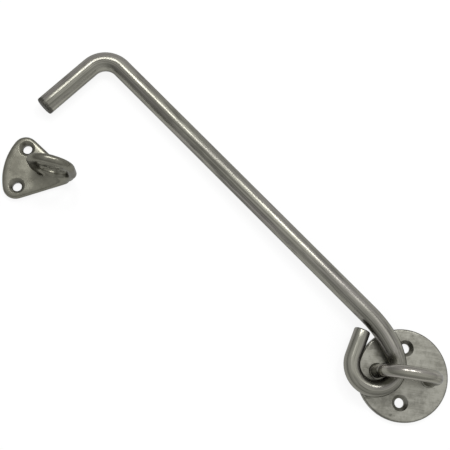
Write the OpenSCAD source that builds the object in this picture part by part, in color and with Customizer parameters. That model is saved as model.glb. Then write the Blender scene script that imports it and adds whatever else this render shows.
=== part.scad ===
// Hook and eye latch in stainless steel: a bent bar hook held by a staple on a
// round screw plate, and a separate cast strike plate with the eye it drops into.
// Origin: centre of the round plate's back face. +Z is away from the wall, and
// +X runs from the staple's near leg, which the hook swings on, to its far leg.

/* [Hook] */
// Diameter of the round bar the hook is bent from
bar_d = 10; // [8:0.5:11]
// Straight bar from the square bend's corner to the sweep before the loop
shank_len = 192.5; // [120:0.5:260]
// Arm that drops into the eye, from the bend's corner to its end
arm_len = 44; // [32:0.2:52]
// Turn of the bend from the bar to the arm
bend_turn = 90; // [86:1:96]
// Radius of the square bend, at the middle of the bar
bend_r = 11.5; // [9:0.5:18]
// Radius of the loop, at the middle of the bar
loop_r = 11.6; // [10.8:0.1:14]
// Turn of the loop, from the sweep to the tail
loop_turn = 225; // [205:1:228]
// How much thinner the bar is drawn in the loop and its tail
draw_down = 1.8; // [0.8:0.1:2.2]
// Length of the taper that leads the bar down to the loop
draw_len = 2.5; // [2:0.5:8]
// Radius of the sweep that leads the bar round into the loop
sweep_r = 58; // [45:1:75]
// Turn of that sweep
sweep_turn = 21.5; // [19:0.5:25]
// Gap left between the tail's cut end and the bar
tail_gap = 0.6; // [0.4:0.1:2]
// Chamfer on the cut ends of the bar
cut_chamfer = 0.8; // [0.3:0.1:1.2]

/* [Base plate] */
// Diameter of the round plate
plate_d = 46.2; // [43:0.2:60]
// Thickness of the round plate
plate_t = 3; // [2.5:0.1:5]
// Rounding of the plate's front edge
plate_edge_r = 1; // [0.4:0.1:1.5]
// Distance between the plate's two screw holes
plate_hole_spacing = 27.2; // [24:0.2:34]

/* [Staple] */
// Diameter of the staple's rod
staple_d = 6.5; // [5:0.1:7]
// Distance between the staple's legs, at the middle of the rod
leg_spacing = 26.5; // [26:0.5:31]
// Height of the crown's middle line above the plate's face
crown_rise = 22.5; // [19:0.5:30]
// Radius of the staple's corners, at the middle of the rod
crown_r = 12; // [8:0.5:12.5]
// Chamfer round each leg at the plate's face
leg_chamfer = 0.9; // [0.4:0.1:1.2]
// Depth of the flare that each leg is peened into behind the plate
peen_depth = 0.8; // [0.4:0.1:1]

/* [Screw holes] */
// Diameter of the screw holes
screw_hole_d = 4.8; // [4:0.1:5.5]
// Diameter of the countersinks at the face
countersink_d = 8.2; // [7.4:0.1:9]

/* [Strike plate] */
// Thickness of the strike plate
strike_t = 4; // [3:0.1:5.5]
// Distance between the strike plate's two screw holes
strike_hole_spacing = 20.4; // [18:0.2:26]
// Radius of the corners round the screw holes
strike_corner_r = 6.5; // [6:0.1:8]
// From the middles of the corners forward to the line of the screws
screw_step = 0.9; // [0:0.1:1.4]
// Reach of the curved back edge behind the middles of the corners
strike_back = 8.6; // [8.2:0.1:10]
// From the line of the screws to the middle of the nose's curve
nose_x = 21.4; // [19:0.1:26]
// Radius of the nose
nose_r = 3.8; // [3.4:0.1:5]
// Rounding of the strike plate's front edge
strike_edge_r = 1.4; // [0.6:0.1:1.8]

/* [Eye] */
// Thickness of the eye's bar
eye_bar_d = 4.8; // [4.2:0.1:5.8]
// From the line of the screws to the middle of the eye
eye_x = 17.6; // [16:0.1:22]
// Straight sides of the eye, between its round ends
eye_side = 7.2; // [4:0.2:12]
// Depth that the foot of the eye is sunk in the plate
eye_sink = 2.2; // [1.4:0.1:2.8]
// Radius of the cast fillet that the eye rises from
eye_fillet_r = 9; // [6:0.5:12]
// Height of that fillet against the eye
eye_foot_rise = 2.2; // [1:0.1:2.6]
// Straight middle of the eye's foot
eye_foot_len = 12; // [8:0.5:14]

/* [Clearances] */
// Between the staple's leg and the inside of the loop
swing_clear = 0.6; // [0.3:0.05:1]
// Between the plate's face and the loop, when the latch lies down
lift_clear = 0.9; // [0.8:0.05:1.5]
// Between the hook's arm and the surface that the latch lies on
lay_clear = 0.15; // [0.05:0.05:0.5]
// Room for the arm across the eye
eye_clear = 4.8; // [3:0.1:6]

/* [Layout] */
// Direction that the bar points in, from the loop
hook_turn = 143.2; // [125:0.2:145]
// Side of the loop that bears on the staple's leg, from the bar's direction
bearing_angle = 174; // [165:1:195]
// Place of the strike plate along X, at the middle of its screws
strike_x = -207.1; // [-260:0.1:-198]
// Place of the strike plate along Y
strike_y = 73.3; // [20:0.1:76]
// Turn of the strike plate as it is laid out
strike_turn = -3; // [-10:1:10]

/* [Hidden] */
$fn = 72;

steel = [0.62, 0.61, 0.58];
bright_steel = [0.68, 0.67, 0.64];
cut = 1;
foot_lap = 0.3;
foot_sink = 0.1;
foot_root = 1.5;
foot_inset = 0.5;
cast_fn = 48;

bar_r = bar_d / 2;
loop_bar_r = bar_r - draw_down / 2;
staple_r = staple_d / 2;
plate_r = plate_d / 2;
leg_x = leg_spacing / 2;
leg_top = crown_rise - crown_r;
crown_len = leg_spacing - 2 * crown_r;
crown_z = plate_t + crown_rise;

// Loop: the bar comes in along -X and turns clockwise, so a heading of h degrees
// puts the middle of a turn at its right hand, [sin(h), -cos(h)].
function right_of(h) = [sin(h), -cos(h)];
function ahead(h) = [cos(h), sin(h)];
shank_heading = 180;
loop_heading = shank_heading - sweep_turn;
tail_heading = loop_heading - loop_turn;
loop_start = -loop_r * right_of(loop_heading);
taper_start = loop_start - draw_len * ahead(loop_heading);
sweep_middle = taper_start + sweep_r * right_of(loop_heading);
shank_end = sweep_middle - sweep_r * right_of(shank_heading);
tail_start = -loop_r * right_of(tail_heading);

// Tail length at which the inner corner of the cut end stays tail_gap from the bar
tail_corner = tail_start + loop_bar_r * right_of(tail_heading) - sweep_middle;
tail_reach = sweep_r - bar_r - tail_gap;
tail_run = tail_corner * ahead(tail_heading);
tail_len = -tail_run + sqrt(tail_run * tail_run + tail_reach * tail_reach - tail_corner * tail_corner);

// Run of each straight into a turn, and how much the bar swells in the turns
lap = 0.5;
turn_swell = 0.03;
sweep_swell = 0.015;

bend_tangent = bend_r * tan(bend_turn / 2);
corner_x = shank_end[0] + shank_len;
bend_middle = [corner_x - bend_tangent, shank_end[1] + bend_r];

// The loop hangs on the near leg and lies just over the plate, and the arm on the surface below
bearing_reach = loop_r - loop_bar_r - staple_r - swing_clear;
loop_z = plate_t + lift_clear + bar_r;
lay_angle = asin((loop_z - bar_r - lay_clear) / corner_x);

strike_half = strike_hole_spacing / 2;
back_step = strike_back - strike_corner_r;
back_x = (strike_half * strike_half - back_step * back_step) / (2 * back_step);
back_r = back_x + strike_back;
back_angle = atan2(strike_half, back_x);
eye_bar_r = eye_bar_d / 2;
eye_r = (bar_d + eye_clear) / 2 + eye_bar_r;
eye_z = strike_t - eye_sink + eye_bar_r + eye_r;
foot_r = eye_bar_r - foot_lap;
foot_spread = sqrt(2 * eye_fillet_r * eye_foot_rise - eye_foot_rise * eye_foot_rise);

// Turn of round rod in the XY plane, about the origin, from angle a0 over a span
module rod_turn(r, rod_r, a0, span)
    rotate([0, 0, a0])
        rotate_extrude(angle = span)
            translate([r, 0])
                circle(rod_r);

// Straight round rod in the XY plane from a point along a heading, its far end chamfered
module rod_run(from, heading, len, rod_r, chamfer = 0)
    translate([from[0], from[1], 0])
        rotate([0, 0, heading])
            rotate([0, 90, 0]) {
                cylinder(h = len - chamfer, r = rod_r);
                if (chamfer > 0)
                    translate([0, 0, len - chamfer])
                        cylinder(h = chamfer, r1 = rod_r, r2 = rod_r - chamfer);
            }

// Straight round rod that tapers from one radius to another
module rod_taper(from, heading, len, r1, r2)
    translate([from[0], from[1], 0])
        rotate([0, 0, heading])
            rotate([0, 90, 0])
                cylinder(h = len, r1 = r1, r2 = r2);

// Countersunk screw hole through a plate of thickness t
module screw_hole(t) {
    depth = (countersink_d - screw_hole_d) / 2;
    translate([0, 0, -cut])
        cylinder(h = t + 2 * cut, d = screw_hole_d);
    translate([0, 0, t - depth])
        cylinder(h = depth + cut, r1 = screw_hole_d / 2, r2 = screw_hole_d / 2 + depth + cut);
}

// Half section of a round-edged disc, for revolving or running along an edge
module edge_section(r, t, edge_r, fn = 48) {
    square([r - edge_r, t]);
    square([r, t - edge_r]);
    translate([r - edge_r, t - edge_r])
        circle(edge_r, $fn = fn);
}

module base_plate()
    color(steel)
        difference() {
            rotate_extrude()
                edge_section(plate_r, plate_t, plate_edge_r);
            for (side = [-1, 1]) {
                translate([0, side * plate_hole_spacing / 2, 0])
                    screw_hole(plate_t);
                translate([side * leg_x, 0, 0])
                    leg_hole();
            }
        }

module leg_hole() {
    translate([0, 0, -cut])
        cylinder(h = plate_t + 2 * cut, r = staple_r);
    translate([0, 0, plate_t - leg_chamfer])
        cylinder(h = leg_chamfer + cut, r1 = staple_r, r2 = staple_r + leg_chamfer + cut);
    translate([0, 0, -cut])
        cylinder(h = peen_depth + cut, r1 = staple_r + peen_depth + cut, r2 = staple_r);
}

module staple()
    color(bright_steel) {
        for (side = [-1, 1])
            translate([side * leg_x, 0, 0]) {
                cylinder(h = plate_t + leg_top, r = staple_r);
                cylinder(h = peen_depth, r1 = staple_r + peen_depth, r2 = staple_r);
            }
        translate([0, 0, crown_z])
            rotate([90, 0, 0]) {
                translate([leg_x - crown_r, -crown_r, 0])
                    rod_turn(crown_r, staple_r, 0, 90);
                translate([crown_r - leg_x, -crown_r, 0])
                    rod_turn(crown_r, staple_r, 90, 90);
                rod_run([crown_r - leg_x, 0], 0, crown_len, staple_r);
            }
    }

// Hook lying in the XY plane, the middle of its loop at the origin and its bar along +X.
// Each straight runs a little way into the turns beside it, which are swelled by the bending.
module flat_hook() {
    rod_run(tail_start - lap * ahead(tail_heading), tail_heading, tail_len + lap, loop_bar_r, cut_chamfer);
    rod_turn(loop_r, loop_bar_r + turn_swell, tail_heading + 90, loop_turn);
    rod_taper(taper_start - lap * ahead(loop_heading), loop_heading, draw_len + 2 * lap, bar_r, loop_bar_r);
    translate([sweep_middle[0], sweep_middle[1], 0])
        rod_turn(sweep_r, bar_r + sweep_swell, loop_heading + 90, sweep_turn);
    rod_run(shank_end - [lap, 0], 0, shank_len - bend_tangent + 2 * lap, bar_r);
    translate([bend_middle[0], bend_middle[1], 0])
        rod_turn(bend_r, bar_r + turn_swell, -90, bend_turn);
    rod_run([corner_x, shank_end[1]] + (bend_tangent - lap) * ahead(bend_turn),
            bend_turn, arm_len - bend_tangent + lap, bar_r, cut_chamfer);
}

module hook()
    color(steel)
        translate([-leg_x, 0, loop_z])
            rotate([0, 0, hook_turn])
                translate([-bearing_reach * cos(bearing_angle), -bearing_reach * sin(bearing_angle), 0])
                    rotate([0, lay_angle, 0])
                        flat_hook();

// Strike plate: corners round the screws, a nose and a curved back, the front edge rounded all round
module strike_slab()
    hull() {
        for (side = [-1, 1])
            translate([-screw_step, side * strike_half, 0])
                rotate_extrude($fn = cast_fn)
                    edge_section(strike_corner_r, strike_t, strike_edge_r);
        translate([nose_x, 0, 0])
            rotate_extrude($fn = cast_fn)
                edge_section(nose_r, strike_t, strike_edge_r);
        translate([back_x - screw_step, 0, 0])
            rotate([0, 0, 180 - back_angle])
                rotate_extrude(angle = 2 * back_angle, $fn = 2 * cast_fn)
                    translate([back_r - strike_corner_r, 0])
                        edge_section(strike_corner_r, strike_t, strike_edge_r, cast_fn);
    }

// Half section of the fillet that spreads the eye's foot out to the plate
module foot_section()
    difference() {
        translate([0, -foot_root])
            square([foot_r + foot_spread, foot_root + eye_foot_rise]);
        translate([foot_r + foot_spread, eye_fillet_r])
            circle(eye_fillet_r);
    }

// Foot under the eye, kept inside the plate's sides
module eye_foot()
    intersection() {
        translate([eye_x, 0, strike_t - foot_sink]) {
            for (side = [-1, 1])
                translate([side * eye_foot_len / 2, 0, 0])
                    rotate_extrude()
                        foot_section();
            for (side = [0, 1])
                mirror([0, side, 0])
                    translate([-eye_foot_len / 2, 0, 0])
                        rotate([90, 0, 90])
                            linear_extrude(eye_foot_len)
                                foot_section();
        }
        linear_extrude(strike_t + eye_foot_rise + cut)
            hull() {
                for (side = [-1, 1])
                    translate([-screw_step, side * strike_half])
                        circle(strike_corner_r - foot_inset, $fn = cast_fn);
                translate([nose_x, 0])
                    circle(nose_r - foot_inset, $fn = cast_fn);
            }
    }

// Eye: an upright oval of round bar, its two round ends joined by straight sides
module eye()
    translate([eye_x, 0, eye_z])
        rotate([90, 0, 0]) {
            rod_turn(eye_r, eye_bar_r + turn_swell, 180, 180);
            translate([0, eye_side, 0])
                rod_turn(eye_r, eye_bar_r + turn_swell, 0, 180);
            for (side = [-1, 1])
                rod_run([side * eye_r, -lap], 90, eye_side + 2 * lap, eye_bar_r);
        }

module strike_plate()
    color(steel)
        translate([strike_x, strike_y, 0])
            rotate([0, 0, strike_turn])
                difference() {
                    union() {
                        strike_slab();
                        eye_foot();
                        eye();
                    }
                    for (side = [-1, 1])
                        translate([0, side * strike_half, 0])
                            screw_hole(strike_t);
                }

base_plate();
staple();
hook();
strike_plate();
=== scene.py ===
import math

import bpy
from mathutils import Matrix, Vector
from mathutils.kdtree import KDTree


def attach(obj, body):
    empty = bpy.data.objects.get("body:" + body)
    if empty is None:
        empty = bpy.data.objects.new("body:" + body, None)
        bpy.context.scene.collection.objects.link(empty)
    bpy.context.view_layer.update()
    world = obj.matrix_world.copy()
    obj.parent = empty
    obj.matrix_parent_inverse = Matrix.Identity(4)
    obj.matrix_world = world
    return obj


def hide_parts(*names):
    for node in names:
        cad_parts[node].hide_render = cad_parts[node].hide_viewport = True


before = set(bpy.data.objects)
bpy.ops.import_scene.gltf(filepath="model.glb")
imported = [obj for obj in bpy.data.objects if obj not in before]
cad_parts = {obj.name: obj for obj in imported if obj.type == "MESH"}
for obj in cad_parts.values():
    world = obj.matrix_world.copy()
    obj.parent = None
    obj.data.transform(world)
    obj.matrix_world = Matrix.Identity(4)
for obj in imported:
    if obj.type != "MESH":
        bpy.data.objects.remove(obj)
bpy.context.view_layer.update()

UP = Vector((0, 0, 1))
DOWN = Vector((0, 0, -1))

# Sizes of the hook, in metres
BAR_R = 0.005
SHANK_LEN = 0.1925
ARM_LEN = 0.044
BEND_TURN = math.radians(90)
BEND_R = 0.0115
LOOP_BAR_R = 0.0041
LOOP_R = 0.0116
LOOP_TURN = math.radians(225)
SWEEP_R = 0.058
SWEEP_TURN = math.radians(21.5)
TAIL_GAP = 0.0006
CUT_EDGE = 0.0008

# The bar is drawn down over the end of the sweep, a short straight and the start of the loop
DRAW_LEAD = 0.003
DRAW_LEN = 0.0025
DRAW_RUN_IN = 0.004
DRAW_STRETCH = DRAW_LEAD + DRAW_LEN + DRAW_RUN_IN

# Sizes of the round plate and the staple
PLATE_T = 0.003
PLATE_HALF = 0.0136
STAPLE_R = 0.00325
LEG_X = 0.01325
CROWN_RISE = 0.0225
CROWN_R = 0.012
PEEN_DEPTH = 0.0008

# How the hook hangs on the staple
SWING_CLEAR = 0.0006
LIFT_CLEAR = 0.0009
LAY_CLEAR = 0.00015
HOOK_TURN = math.radians(143.2)
BEARING_ANGLE = math.radians(174)

# Sizes of the screw holes and the strike plate
SCREW_R = 0.0024
SINK_R = 0.0041
STRIKE_T = 0.004
STRIKE_HALF = 0.0102
STRIKE_TURN = math.radians(-3)
STRIKE_PLACE = Matrix.Translation((-0.2071, 0.0733, 0)) @ Matrix.Rotation(STRIKE_TURN, 4, "Z")

# Points round each bar and drill
HOOK_SIDES = 72
STAPLE_SIDES = 48
DRILL_SIDES = 64

# Angles of the rings on a cut edge, in degrees, and the share of a cut face inside its last ring
EDGE_ANGLES = (90, 60, 30, 0)
FACE_SHARE = 0.9

# Steps in which the bar is drawn down: on the sweep, on the straight and on the loop
LEAD_STEPS = 4
DRAW_STEPS = 3
RUN_IN_STEPS = 6


def right_of(h):
    """Level direction to the right of a heading."""
    return Vector((math.sin(h), -math.cos(h), 0))


def ahead(h):
    """Level direction along a heading."""
    return Vector((math.cos(h), math.sin(h), 0))


# The hook's own plan, with the middle of its loop at the origin and its bar along +X
SHANK_HEADING = math.pi
LOOP_HEADING = SHANK_HEADING - SWEEP_TURN
TAIL_HEADING = LOOP_HEADING - LOOP_TURN
LOOP_START = -LOOP_R * right_of(LOOP_HEADING)
DRAW_START = LOOP_START - DRAW_LEN * ahead(LOOP_HEADING)
SWEEP_MIDDLE = DRAW_START + SWEEP_R * right_of(LOOP_HEADING)
SHANK_END = SWEEP_MIDDLE - SWEEP_R * right_of(SHANK_HEADING)
TAIL_START = -LOOP_R * right_of(TAIL_HEADING)
tail_corner = TAIL_START + LOOP_BAR_R * right_of(TAIL_HEADING) - SWEEP_MIDDLE
tail_reach = SWEEP_R - BAR_R - TAIL_GAP
tail_run = tail_corner.dot(ahead(TAIL_HEADING))
TAIL_LEN = -tail_run + math.sqrt(tail_run ** 2 + tail_reach ** 2 - tail_corner.length_squared)
BEND_TANGENT = BEND_R * math.tan(BEND_TURN / 2)
CORNER = SHANK_END + Vector((SHANK_LEN, 0, 0))
BEND_MIDDLE = CORNER + Vector((-BEND_TANGENT, BEND_R, 0))
LOOP_Z = PLATE_T + LIFT_CLEAR + BAR_R
LAY_ANGLE = math.asin((LOOP_Z - BAR_R - LAY_CLEAR) / CORNER.x)
BEARING_REACH = LOOP_R - LOOP_BAR_R - STAPLE_R - SWING_CLEAR
HOOK_PLACE = (
    Matrix.Translation((-LEG_X, 0, LOOP_Z))
    @ Matrix.Rotation(HOOK_TURN, 4, "Z")
    @ Matrix.Translation(-BEARING_REACH * ahead(BEARING_ANGLE))
    @ Matrix.Rotation(LAY_ANGLE, 4, "Y")
)


# Bent bar, made as in a forge: one ring is drawn out straight and swung round each bend

def start_ring(name, radius, place, sides):
    """A ring of points at the cut end of a bar, left selected in edit mode."""
    bpy.ops.object.select_all(action="DESELECT")
    bpy.ops.mesh.primitive_circle_add(vertices=sides, radius=radius, fill_type="NGON")
    ring = bpy.context.active_object
    ring.name = ring.data.name = name
    ring.data.transform(place)
    bpy.ops.object.mode_set(mode="EDIT")
    bpy.ops.mesh.select_mode(type="VERT")
    bpy.ops.mesh.select_all(action="SELECT")
    return ring


def draw_out(step, pieces=1):
    """Pulls the ring on along a straight, in equal pieces."""
    for _ in range(pieces):
        bpy.ops.mesh.extrude_region_move(TRANSFORM_OT_translate={"value": Vector(step) / pieces})


def swing_round(middle, axis, angle, steps):
    """Turns the ring on round a bend. The spin tool counts its angle the other way."""
    bpy.ops.mesh.spin(steps=steps, angle=-angle, center=middle, axis=axis)


def swell_to(ratio, middle):
    """Makes the ring larger or smaller about its middle."""
    bpy.ops.transform.resize(value=(ratio, ratio, ratio), center_override=middle)


def edge_ring(radius, angle):
    """Radius and depth of the ring on a rounded cut edge, at an angle up from the bar's side."""
    return radius - CUT_EDGE * (1 - math.cos(angle)), CUT_EDGE * (1 - math.sin(angle))


def round_edge(tip, out, radius, angles):
    """Runs rings over the rounded edge of a cut end, from the first angle to the last."""
    r0, d0 = edge_ring(radius, math.radians(angles[0]))
    for a in angles[1:]:
        r1, d1 = edge_ring(radius, math.radians(a))
        draw_out((d0 - d1) * out)
        swell_to(r1 / r0, tip - d1 * out)
        r0, d0 = r1, d1


def drawn_radius(gone):
    """Radius of the bar at a distance along the stretch where it is drawn down for the loop."""
    t = gone / DRAW_STRETCH
    return BAR_R + (LOOP_BAR_R - BAR_R) * t * t * (3 - 2 * t)


def draw_down():
    """Thins the bar in short steps, over the sweep's end, a straight and the loop's start."""
    places = []
    for i in range(1, LEAD_STEPS + 1):
        left = DRAW_LEAD / SWEEP_R * (1 - i / LEAD_STEPS)
        here = Matrix.Rotation(-left, 3, DOWN) @ (DRAW_START - SWEEP_MIDDLE) + SWEEP_MIDDLE
        places.append((DRAW_LEAD / LEAD_STEPS, here, (SWEEP_MIDDLE, SWEEP_R)))
    for i in range(1, DRAW_STEPS + 1):
        here = DRAW_START.lerp(LOOP_START, i / DRAW_STEPS)
        places.append((DRAW_LEN / DRAW_STEPS, here, None))
    for i in range(1, RUN_IN_STEPS + 1):
        here = Matrix.Rotation(DRAW_RUN_IN / LOOP_R * i / RUN_IN_STEPS, 3, DOWN) @ LOOP_START
        places.append((DRAW_RUN_IN / RUN_IN_STEPS, here, (Vector(), LOOP_R)))
    gone = 0.0
    for step, here, turn in places:
        if turn:
            middle, radius = turn
            swing_round(middle, DOWN, step / radius, steps=1)
        else:
            draw_out(step * ahead(LOOP_HEADING))
        swell_to(drawn_radius(gone + step) / drawn_radius(gone), here)
        gone += step


def close_bar():
    """Merges the joints, turns the skin outwards and shades it smooth but for its cut ends."""
    bpy.ops.mesh.select_all(action="SELECT")
    bpy.ops.mesh.remove_doubles(threshold=1e-7)
    bpy.ops.mesh.normals_make_consistent(inside=False)
    bpy.ops.mesh.select_all(action="DESELECT")
    bpy.ops.object.mode_set(mode="OBJECT")
    bpy.ops.object.shade_smooth_by_angle(angle=math.radians(40))


def mark_grain(bar, path):
    """Keeps where each point of a bent bar would lie with the bar pulled straight.

    The three figures run along the bar, out from its bends and along the bends' axis.
    """
    tree = KDTree(len(path))
    for i, (middle, *_) in enumerate(path):
        tree.insert(middle, i)
    tree.balance()
    grain = bar.data.attributes.new("grain", "FLOAT_VECTOR", "POINT")
    for v in bar.data.vertices:
        middle, along, out, axis = path[tree.find(v.co)[1]]
        off = v.co - middle
        grain.data[v.index].vector = (along, off.dot(out), off.dot(axis))


def trace(runs, step=0.0002):
    """Middle line of a bar, as close points.

    A straight is (start, end, axis) and a turn is (start, middle, axis, angle). A point is its
    place, its distance along the bar, the direction out from the bends, and their axis.
    """
    path, along = [], 0.0
    for run in runs:
        if len(run) == 3:
            a, b, axis = run
            length = (b - a).length
            n = max(2, int(length / step))
            out = (b - a).normalized().cross(axis)
            for i in range(n):
                path.append((a.lerp(b, i / n), along + length * i / n, out, axis))
            along += length
        else:
            a, middle, axis, angle = run
            arm = a - middle
            n = max(2, int(arm.length * angle / step))
            for i in range(n):
                out = Matrix.Rotation(angle * i / n, 3, axis) @ arm
                gone = along + arm.length * angle * i / n
                path.append((middle + out, gone, out.normalized(), axis))
            along += arm.length * angle
    return path


def bend_hook():
    """The hook, from the sawn end of its arm to the cut end of its tail."""
    back = ahead(BEND_TURN)
    tip = CORNER + ARM_LEN * back
    face = Matrix.Translation(tip) @ back.to_track_quat("Z", "Y").to_matrix().to_4x4()
    bar = start_ring("hook_bar", FACE_SHARE * (BAR_R - CUT_EDGE), face, HOOK_SIDES)
    draw_out(Vector())
    swell_to(1 / FACE_SHARE, tip)
    round_edge(tip, back, BAR_R, EDGE_ANGLES)
    draw_out(-(ARM_LEN - BEND_TANGENT - CUT_EDGE) * back, pieces=6)
    swing_round(BEND_MIDDLE, DOWN, BEND_TURN, steps=36)
    draw_out(Vector((-(SHANK_LEN - BEND_TANGENT), 0, 0)), pieces=24)
    swing_round(SWEEP_MIDDLE, DOWN, SWEEP_TURN - DRAW_LEAD / SWEEP_R, steps=20)
    draw_down()
    swing_round(Vector(), DOWN, LOOP_TURN - DRAW_RUN_IN / LOOP_R, steps=78)
    tail = ahead(TAIL_HEADING)
    end = TAIL_START + TAIL_LEN * tail
    draw_out((TAIL_LEN - CUT_EDGE) * tail, pieces=3)
    round_edge(end, tail, LOOP_BAR_R, EDGE_ANGLES[::-1])
    draw_out(Vector())
    swell_to(FACE_SHARE, end)
    bpy.ops.mesh.edge_face_add()
    close_bar()
    arm_root = CORNER + BEND_TANGENT * back
    mark_grain(bar, trace([
        (tip, arm_root, DOWN),
        (arm_root, BEND_MIDDLE, DOWN, BEND_TURN),
        (CORNER - Vector((BEND_TANGENT, 0, 0)), SHANK_END, DOWN),
        (SHANK_END, SWEEP_MIDDLE, DOWN, SWEEP_TURN),
        (DRAW_START, LOOP_START, DOWN),
        (LOOP_START, Vector(), DOWN, LOOP_TURN),
        (TAIL_START, end, DOWN),
    ]))
    bar.data.transform(HOOK_PLACE)
    return bar


# Height over the plate's face and extra radius of the small weld collar round each leg
COLLAR = (
    (-0.0003, 0.0), (-0.0002, 0.0008), (0.0001, 0.0008),
    (0.0003, 0.0006), (0.0005, 0.0003), (0.0009, 0.0),
)


def foot_collar(foot, steps):
    """Runs rings over the collar of one leg, in the order that the leg is drawn."""
    z0, r0 = steps[0]
    for z1, r1 in steps[1:]:
        draw_out((z1 - z0) * UP)
        swell_to((STAPLE_R + r1) / (STAPLE_R + r0), foot + (PLATE_T + z1) * UP)
        z0, r0 = z1, r1


def bend_staple():
    """The staple, from the flare of its near leg over the crown to the flare of its far leg."""
    foot = Vector((-LEG_X, 0, 0))
    axis = Vector((0, 1, 0))
    crown = PLATE_T + CROWN_RISE
    corner_z = crown - CROWN_R
    half = LEG_X - CROWN_R
    near, far = Vector((-half, 0, corner_z)), Vector((half, 0, corner_z))
    low, high = COLLAR[0][0], COLLAR[-1][0]
    rod = start_ring("staple_rod", STAPLE_R + PEEN_DEPTH, Matrix.Translation(foot), STAPLE_SIDES)
    draw_out(PEEN_DEPTH * UP)
    swell_to(STAPLE_R / (STAPLE_R + PEEN_DEPTH), foot + PEEN_DEPTH * UP)
    draw_out((PLATE_T + low - PEEN_DEPTH) * UP)
    foot_collar(foot, COLLAR)
    draw_out((corner_z - PLATE_T - high) * UP, pieces=4)
    swing_round(near, axis, math.pi / 2, steps=24)
    draw_out(Vector((2 * half, 0, 0)), pieces=3)
    swing_round(far, axis, math.pi / 2, steps=24)
    draw_out((PLATE_T + high - corner_z) * UP, pieces=4)
    foot_collar(-foot, COLLAR[::-1])
    draw_out((PEEN_DEPTH - PLATE_T - low) * UP)
    draw_out(-PEEN_DEPTH * UP)
    swell_to((STAPLE_R + PEEN_DEPTH) / STAPLE_R, -foot)
    bpy.ops.mesh.edge_face_add()
    close_bar()
    mark_grain(rod, trace([
        (foot, foot + corner_z * UP, axis),
        (foot + corner_z * UP, near, axis, math.pi / 2),
        (Vector((-half, 0, crown)), Vector((half, 0, crown)), axis),
        (Vector((half, 0, crown)), far, axis, math.pi / 2),
        (Vector((LEG_X, 0, corner_z)), -foot, axis),
    ]))
    return rod


# Strike plate

PLUG_R = 0.0046
PLUG_SIDES = 48
OVERCUT = 0.001
VOXEL = 0.0004

# Place and half lengths of the metal that fills out the front of the eye's foot
NOSE_PLACE = (0.0222, 0, 0.005)
NOSE_SIZE = (0.0054, 0.003, 0.0033)

# Passes of smoothing: over the whole casting, then over the eye's foot, less high each time
WHOLE_PASSES = 3
FOOT_PASSES = ((0.0115, 6), (0.0095, 8), (0.008, 16))
FOOT_Z = 0.0025
FOOT_X = 0.0046


def pick(piece):
    """Makes one piece the selected and active one."""
    bpy.ops.object.select_all(action="DESELECT")
    piece.select_set(True)
    bpy.context.view_layer.objects.active = piece


def soften(casting, picked, passes):
    """Smooths the points that picked() takes, which it gets in the strike plate's own frame."""
    to_plate = STRIKE_PLACE.inverted()
    for v in casting.data.vertices:
        v.select = picked(to_plate @ v.co)
    bpy.ops.object.mode_set(mode="EDIT")
    bpy.ops.mesh.vertices_smooth(factor=0.5, repeat=passes)
    bpy.ops.object.mode_set(mode="OBJECT")


def screw_tool(side):
    """A screw hole with its countersink as one solid, to be cut from the casting."""
    foot = Vector((0, side * STRIKE_HALF, -OVERCUT))
    top = Vector((0, side * STRIKE_HALF, STRIKE_T + OVERCUT))
    tool = start_ring("screw_tool", SCREW_R, STRIKE_PLACE @ Matrix.Translation(foot), DRILL_SIDES)
    sink = SINK_R - SCREW_R
    draw_out((STRIKE_T + OVERCUT - sink) * UP)
    draw_out((sink + OVERCUT) * UP)
    swell_to((SINK_R + OVERCUT) / SCREW_R, STRIKE_PLACE @ top)
    bpy.ops.mesh.edge_face_add()
    close_bar()
    return tool


def pour_strike():
    """The strike plate as it leaves the mould, then drilled.

    Its holes are plugged, the eye's foot is flowed into the plate, and the holes are cut again.
    """
    pick(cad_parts["strike_plate"])
    bpy.ops.object.duplicate()
    casting = bpy.context.active_object
    casting.name = casting.data.name = "strike_casting"
    bpy.ops.object.mode_set(mode="EDIT")
    bpy.ops.mesh.select_all(action="SELECT")
    bpy.ops.mesh.remove_doubles(threshold=1e-6)
    bpy.ops.object.mode_set(mode="OBJECT")
    fills = []
    for side in (-1, 1):
        bpy.ops.mesh.primitive_cylinder_add(vertices=PLUG_SIDES, radius=PLUG_R, depth=STRIKE_T)
        fills.append(bpy.context.active_object)
        plug_place = Matrix.Translation((0, side * STRIKE_HALF, STRIKE_T / 2))
        fills[-1].data.transform(STRIKE_PLACE @ plug_place)
    bpy.ops.mesh.primitive_uv_sphere_add(segments=48, ring_count=24, radius=1.0)
    fills.append(bpy.context.active_object)
    nose_place = Matrix.Translation(NOSE_PLACE) @ Matrix.Diagonal((*NOSE_SIZE, 1))
    fills[-1].data.transform(STRIKE_PLACE @ nose_place)
    for piece in fills + [casting]:
        piece.select_set(True)
    bpy.context.view_layer.objects.active = casting
    bpy.ops.object.join()
    casting.data.remesh_voxel_size = VOXEL
    bpy.ops.object.voxel_remesh()
    soften(casting, lambda q: True, WHOLE_PASSES)
    for top, passes in FOOT_PASSES:
        soften(casting, lambda q: FOOT_Z < q.z < top and q.x > FOOT_X, passes)
    for side in (-1, 1):
        tool = screw_tool(side)
        pick(casting)
        drill = casting.modifiers.new("drill", "BOOLEAN")
        drill.operation = "DIFFERENCE"
        drill.object = tool
        bpy.ops.object.modifier_apply(modifier=drill.name)
        bpy.data.objects.remove(tool)
    bpy.ops.object.shade_smooth_by_angle(angle=math.radians(35))
    return casting


# Finishes

# Darker and lighter tone of each steel
HOOK_TONES = (0.14, 0.137, 0.117), (0.29, 0.285, 0.243)
STAPLE_TONES = (0.2, 0.196, 0.165), (0.31, 0.304, 0.256)
CAST_TONES = (0.14, 0.136, 0.111), (0.19, 0.186, 0.153)
PLATE_TONES = (0.185, 0.181, 0.155), (0.33, 0.325, 0.284)

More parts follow.
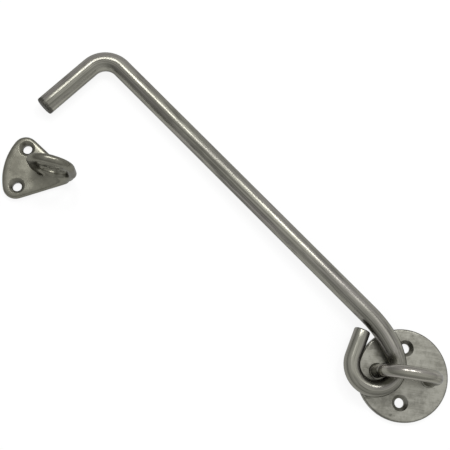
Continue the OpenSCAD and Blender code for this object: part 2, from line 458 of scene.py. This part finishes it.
HOOK_ROUGH = 0.28
STAPLE_ROUGH = 0.22
CAST_ROUGH = 0.27
PLATE_ROUGH = 0.34

# Colours of the marks and of the painted shade, and what turns a warm tone into a cooler one
DASH = (0.07, 0.068, 0.06, 1)
SPECK = (0.07, 0.068, 0.058, 1)
# Painted shade in the round plate's countersinks and on its rounded top edge
PLATE_PAINTED_SHADE = (0.06, 0.058, 0.05, 1)
# Painted shade in the strike plate's countersinks
CAST_PAINTED_SHADE = (0.06, 0.058, 0.048, 1)
SAWN_DARK = (0.045, 0.044, 0.038, 1)
SAWN_LIGHT = (0.13, 0.127, 0.11, 1)
EDGE_TINT = (0.6, 0.6, 0.6, 1)
COOLER = (1, 0.97, 1.05)

# Where the marks and the painted shade lie: the dull sawn end, the painted shade in a countersink
# out to its edge, and the painted shade on the top edge of the round plate
SAWN_LEN = 0.0022
SAWN_RAGGED = 0.0005
SINK_FADE = (0.0039, 0.0042)
RIM_FADE = (0.0223, 0.0228)
RIM_RISE = (0.0018, 0.0025)

# Stretch of the lines along a bar, and the direction of those across the round plate
BAR_LINES = (0.006, 1, 1)
LINISH_TURN = math.radians(35)


class Nodes:
    """A tree of nodes, written as a short list of steps."""

    def __init__(self, tree):
        self.tree = tree

    def node(self, kind, inputs=None, **settings):
        n = self.tree.nodes.new(kind)
        for key, value in settings.items():
            setattr(n, key, value)
        for key, value in (inputs or {}).items():
            self.put(n.inputs[key], value)
        return n

    def put(self, socket, value):
        if isinstance(value, bpy.types.NodeSocket):
            self.tree.links.new(value, socket)
        else:
            socket.default_value = value

    def spread(self, value, low, high, start=0.3, end=0.7):
        """From low, where the value is at start, to high, where it is at end."""
        return self.node("ShaderNodeMapRange", {
            "Value": value, "From Min": start, "From Max": end, "To Min": low, "To Max": high,
        }).outputs["Result"]

    def math(self, operation, a, b=0.0):
        return self.node("ShaderNodeMath", {0: a, 1: b}, operation=operation).outputs[0]

    def sum(self, a, b):
        return self.math("ADD", a, b)

    def times(self, a, b):
        return self.math("MULTIPLY", a, b)


class Finish(Nodes):
    """A material with its shader."""

    def __init__(self, name):
        self.material = bpy.data.materials.new(name)
        self.material.use_nodes = True
        super().__init__(self.material.node_tree)
        self.shader = self.tree.nodes["Principled BSDF"]

    def noise(self, where, scale, stretch=(1, 1, 1), detail=4.0, rough=0.55, turn=(0, 0, 0)):
        place = self.node("ShaderNodeMapping", {
            "Vector": where, "Scale": stretch, "Rotation": turn,
        }).outputs["Vector"]
        return self.node("ShaderNodeTexNoise", {
            "Vector": place, "Scale": scale, "Detail": detail, "Roughness": rough,
        }).outputs["Fac"]

    def weigh(self, *shares):
        """Sum of several values, each by its share."""
        total = None
        for value, share in reversed(shares):
            part = self.times(value, share)
            total = part if total is None else self.sum(part, total)
        return total

    def blend(self, fac, a, b):
        mix = self.node("ShaderNodeMix", data_type="RGBA")
        self.put(mix.inputs["Factor"], fac)
        self.put(mix.inputs["A"], a)
        self.put(mix.inputs["B"], b)
        return mix.outputs["Result"]

    def tones(self, fac, pair):
        """From the darker tone of a pair to the lighter one."""
        dark, light = pair
        return self.blend(fac, (*dark, 1), (*light, 1))

    def reach(self, x, y):
        """Distance from the origin across a plate."""
        return self.math("SQRT", self.sum(self.times(x, x), self.times(y, y)))

    def off_screws(self, where, middle, turn, half):
        """Distance from the nearer of a plate's two screws, across the plate."""
        flat = self.node("ShaderNodeVectorMath", {0: where, 1: middle}, operation="SUBTRACT")
        place = self.node("ShaderNodeMapping", {
            "Vector": flat.outputs[0], "Rotation": (0, 0, turn),
        }).outputs["Vector"]
        axes = self.node("ShaderNodeSeparateXYZ", {"Vector": place}).outputs
        off = self.math("SUBTRACT", self.math("ABSOLUTE", axes["Y"]), half)
        return self.reach(axes["X"], off)

    def bump(self, height, distance, strength=1.0, under=None):
        inputs = {"Height": height, "Distance": distance, "Strength": strength}
        if under is not None:
            inputs["Normal"] = under
        return self.node("ShaderNodeBump", inputs).outputs["Normal"]

    def steel(self, colour, gloss, normal):
        """Bare metal with this colour, roughness and bumps, duller where it is seen edge on."""
        self.put(self.shader.inputs["Base Color"], colour)
        self.put(self.shader.inputs["Roughness"], gloss)
        self.put(self.shader.inputs["Normal"], normal)
        self.shader.inputs["Metallic"].default_value = 1.0
        self.shader.inputs["Specular Tint"].default_value = EDGE_TINT
        return self.material


def brushed_bar(name, tones, rough, sawn_to=None):
    """Drawn bar, polished along its length, with a dull sawn end where one is asked for.

    Lines and dark dashes follow the bar, and its grey runs warmer and cooler.
    """
    f = Finish(name)
    where = f.node("ShaderNodeAttribute", attribute_name="grain").outputs["Vector"]
    fine = f.noise(where, 1500.0, stretch=BAR_LINES, detail=3.0, rough=0.6)
    broad = f.noise(where, 600.0, stretch=BAR_LINES, detail=2.0)
    cloud = f.noise(where, 110.0, stretch=(0.3, 1, 1))
    tone = f.spread(f.weigh((cloud, 0.3), (broad, 0.35), (fine, 0.35)), 0.0, 1.0, 0.43, 0.57)
    cooler = [[c * k for c, k in zip(colour, COOLER)] for colour in tones]
    shift = f.noise(where, 260.0, stretch=(0.06, 1, 1), detail=2.0)
    colour = f.blend(
        f.spread(shift, 0.0, 1.0, 0.45, 0.65), f.tones(tone, tones), f.tones(tone, cooler),
    )
    dashes = f.noise(where, 600.0, stretch=(0.12, 1, 1), detail=2.0)
    colour = f.blend(f.spread(dashes, 0.0, 0.5, 0.56, 0.68), colour, DASH)
    gloss = f.spread(f.weigh((fine, 0.5), (broad, 0.5)), rough - 0.02, rough + 0.03)
    if sawn_to:
        along = f.node("ShaderNodeSeparateXYZ", {"Vector": where}).outputs["X"]
        jagged = f.spread(f.noise(where, 900.0, detail=3.0), -SAWN_RAGGED, SAWN_RAGGED)
        sawn = f.spread(f.sum(along, jagged), 1.0, 0.0, sawn_to - SAWN_RAGGED, sawn_to)
        grit = f.spread(f.noise(where, 1500.0), 0.0, 1.0)
        colour = f.blend(sawn, colour, f.blend(grit, SAWN_DARK, SAWN_LIGHT))
        gloss = f.sum(gloss, f.times(sawn, 0.2))
    return f.steel(colour, gloss, f.bump(broad, distance=0.000006))


def satin_plate(name, tones, rough, turn):
    """Pressed plate, linished one way, with cloudy marks and small dark specks.

    Painted shade darkens its rounded top edge, and a little painted shade darkens its countersinks.
    """
    f = Finish(name)
    where = f.node("ShaderNodeTexCoord").outputs["Object"]
    fine = f.noise(where, 1800.0, stretch=(0.05, 1, 1), detail=3.0, rough=0.6, turn=(0, 0, turn))
    cloud = f.noise(where, 330.0, detail=5.0, rough=0.65)
    patch = f.noise(where, 80.0, stretch=(1, 1.5, 1), detail=2.0)
    mixed = f.weigh((cloud, 0.45), (patch, 0.35), (fine, 0.2))
    colour = f.tones(f.spread(mixed, 0.0, 1.0, 0.42, 0.58), tones)
    specks = f.noise(where, 420.0, detail=2.0)
    colour = f.blend(f.spread(specks, 0.0, 0.55, 0.68, 0.76), colour, SPECK)
    # Painted shade: a little darker in the countersinks, and darker on the rounded top edge
    sunk = f.spread(f.off_screws(where, (0, 0, 0), 0, PLATE_HALF), 0.1, 0.0, *SINK_FADE)
    axes = f.node("ShaderNodeSeparateXYZ", {"Vector": where}).outputs
    out = f.spread(f.reach(axes["X"], axes["Y"]), 0.0, 0.55, *RIM_FADE)
    rim = f.times(out, f.spread(axes["Z"], 0.0, 1.0, *RIM_RISE))
    colour = f.blend(f.math("MAXIMUM", sunk, rim), colour, PLATE_PAINTED_SHADE)
    gloss = f.spread(mixed, rough + 0.06, rough - 0.06, 0.4, 0.6)
    lines = f.bump(fine, distance=0.000008)
    return f.steel(colour, gloss, f.bump(cloud, distance=0.00008, strength=0.5, under=lines))


def tumbled_casting(name, tones, rough):
    """Cast steel, tumbled and buffed: soft cloudy ripples, no grain, with painted shade in the
    countersinks.
    """
    f = Finish(name)
    where = f.node("ShaderNodeTexCoord").outputs["Object"]
    ripple = f.noise(where, 150.0, detail=3.0)
    specks = f.noise(where, 900.0, detail=3.0)
    mixed = f.weigh((ripple, 0.7), (specks, 0.3))
    colour = f.tones(f.spread(mixed, 0.0, 1.0, 0.38, 0.62), tones)
    off = f.off_screws(where, STRIKE_PLACE.translation, -STRIKE_TURN, STRIKE_HALF)
    # Painted shade darkens the countersinks
    colour = f.blend(f.spread(off, 0.15, 0.0, *SINK_FADE), colour, CAST_PAINTED_SHADE)
    gloss = f.spread(ripple, rough - 0.03, rough + 0.05)
    return f.steel(colour, gloss, f.bump(ripple, distance=0.00012, strength=0.5))


def dress(piece, material):
    """Gives a piece this material alone."""
    piece.data.materials.clear()
    piece.data.materials.append(material)


# The pieces

hook_bar = bend_hook()
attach(hook_bar, "hook")
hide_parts("hook")
dress(hook_bar, brushed_bar("brushed_bar", HOOK_TONES, HOOK_ROUGH, SAWN_LEN))

staple_rod = bend_staple()
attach(staple_rod, "base")
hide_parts("staple")
dress(staple_rod, brushed_bar("polished_rod", STAPLE_TONES, STAPLE_ROUGH))

strike_casting = pour_strike()
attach(strike_casting, "base")
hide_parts("strike_plate")
dress(strike_casting, tumbled_casting("tumbled_casting", CAST_TONES, CAST_ROUGH))

satin = satin_plate("satin_plate", PLATE_TONES, PLATE_ROUGH, LINISH_TURN)
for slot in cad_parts["base_plate"].material_slots:
    slot.material = satin

# Floor, light and camera

FLOOR_SIZE = 4.0
FLOOR_Z = -0.0002
FLOOR_WHITE = (0.97, 0.97, 0.97, 1)
OWN_WHITE = 0.86

SKY_TILT = (0.3, 0.1, 1.0)
SKY_LOW = 0.48
SKY_TOP = 1.0

# Name of each lamp, its direction from the latch, its size and its power
LAMPS = (
    ("bar_lamp", Vector((0.25, 0.49, 1)), 0.2, 2.1),
    ("arm_lamp", Vector((-0.19, 0.51, 1)), 0.25, 2.2),
)
LAMP_AIM = Vector((-0.1, 0.06, 0))
LAMP_HEIGHT = 0.9

LENS = 65.660
SENSOR = 36.0
EYE_PLACE = (-0.112639, -0.034529, 0.412771)
EYE_TURN = (12.6905, -3.8363, 8.868)


def pale_floor():
    """A white floor.

    Where it is seen, straight or in the steel, most of its white is its own.
    The rest shows shadow.
    """
    bpy.ops.object.select_all(action="DESELECT")
    bpy.ops.mesh.primitive_plane_add(size=FLOOR_SIZE, location=(0, 0, FLOOR_Z))
    floor = bpy.context.active_object
    floor.name = "floor"
    f = Finish("pale_floor")
    f.shader.inputs["Base Color"].default_value = FLOOR_WHITE
    f.shader.inputs["Roughness"].default_value = 0.9
    f.shader.inputs["Specular IOR Level"].default_value = 0.0
    rays = f.node("ShaderNodeLightPath").outputs
    shown = f.sum(rays["Is Camera Ray"], rays["Is Glossy Ray"])
    seen = f.node("ShaderNodeMath", {
        0: shown, 1: rays["Is Transmission Ray"],
    }, operation="ADD", use_clamp=True).outputs[0]
    white = f.node("ShaderNodeEmission", {"Color": (1, 1, 1, 1), "Strength": 1.0})
    mix = f.node("ShaderNodeMixShader", {
        0: f.times(seen, OWN_WHITE), 1: f.shader.outputs["BSDF"], 2: white.outputs[0],
    })
    f.put(f.tree.nodes["Material Output"].inputs["Surface"], mix.outputs[0])
    dress(floor, f.material)


def soft_lamp(name, way, size, power):
    """A small round lamp in this direction, aimed at the latch."""
    light = bpy.data.lights.new(name, "AREA")
    light.shape = "DISK"
    light.size = size
    light.energy = power
    lamp = bpy.data.objects.new(name, light)
    bpy.context.collection.objects.link(lamp)
    place = LAMP_AIM + LAMP_HEIGHT * way
    lamp.location = place
    lamp.rotation_euler = (LAMP_AIM - place).to_track_quat("-Z", "Y").to_euler()


def studio():
    """A soft sky, and two small lamps for the streaks along the bar, the arm and the crown.

    The sky is brighter overhead and towards +X, and white where it is seen.
    """
    world = bpy.data.worlds.new("studio")
    bpy.context.scene.world = world
    world.use_nodes = True
    sky = Nodes(world.node_tree)
    way = sky.node("ShaderNodeTexCoord").outputs["Generated"]
    rise = sky.node("ShaderNodeVectorMath", {0: way, 1: SKY_TILT}, operation="DOT_PRODUCT")
    level = sky.spread(rise.outputs["Value"], SKY_LOW, SKY_TOP, 0.0, 1.0)
    seen = sky.node("ShaderNodeLightPath").outputs["Is Camera Ray"]
    back = sky.tree.nodes["Background"]
    back.inputs["Strength"].default_value = 1.0
    sky.put(back.inputs["Color"], sky.math("MAXIMUM", level, seen))
    for lamp in LAMPS:
        soft_lamp(*lamp)


def look():
    """The camera, almost straight above the latch."""
    camera = bpy.data.cameras.new("camera")
    camera.lens = LENS
    camera.sensor_width = SENSOR
    camera.clip_start = 0.01
    eye = bpy.data.objects.new("camera", camera)
    bpy.context.collection.objects.link(eye)
    eye.location = EYE_PLACE
    eye.rotation_euler = [math.radians(a) for a in EYE_TURN]
    bpy.context.scene.camera = eye


pale_floor()
studio()
look()
bpy.context.scene.view_settings.view_transform = "Standard"
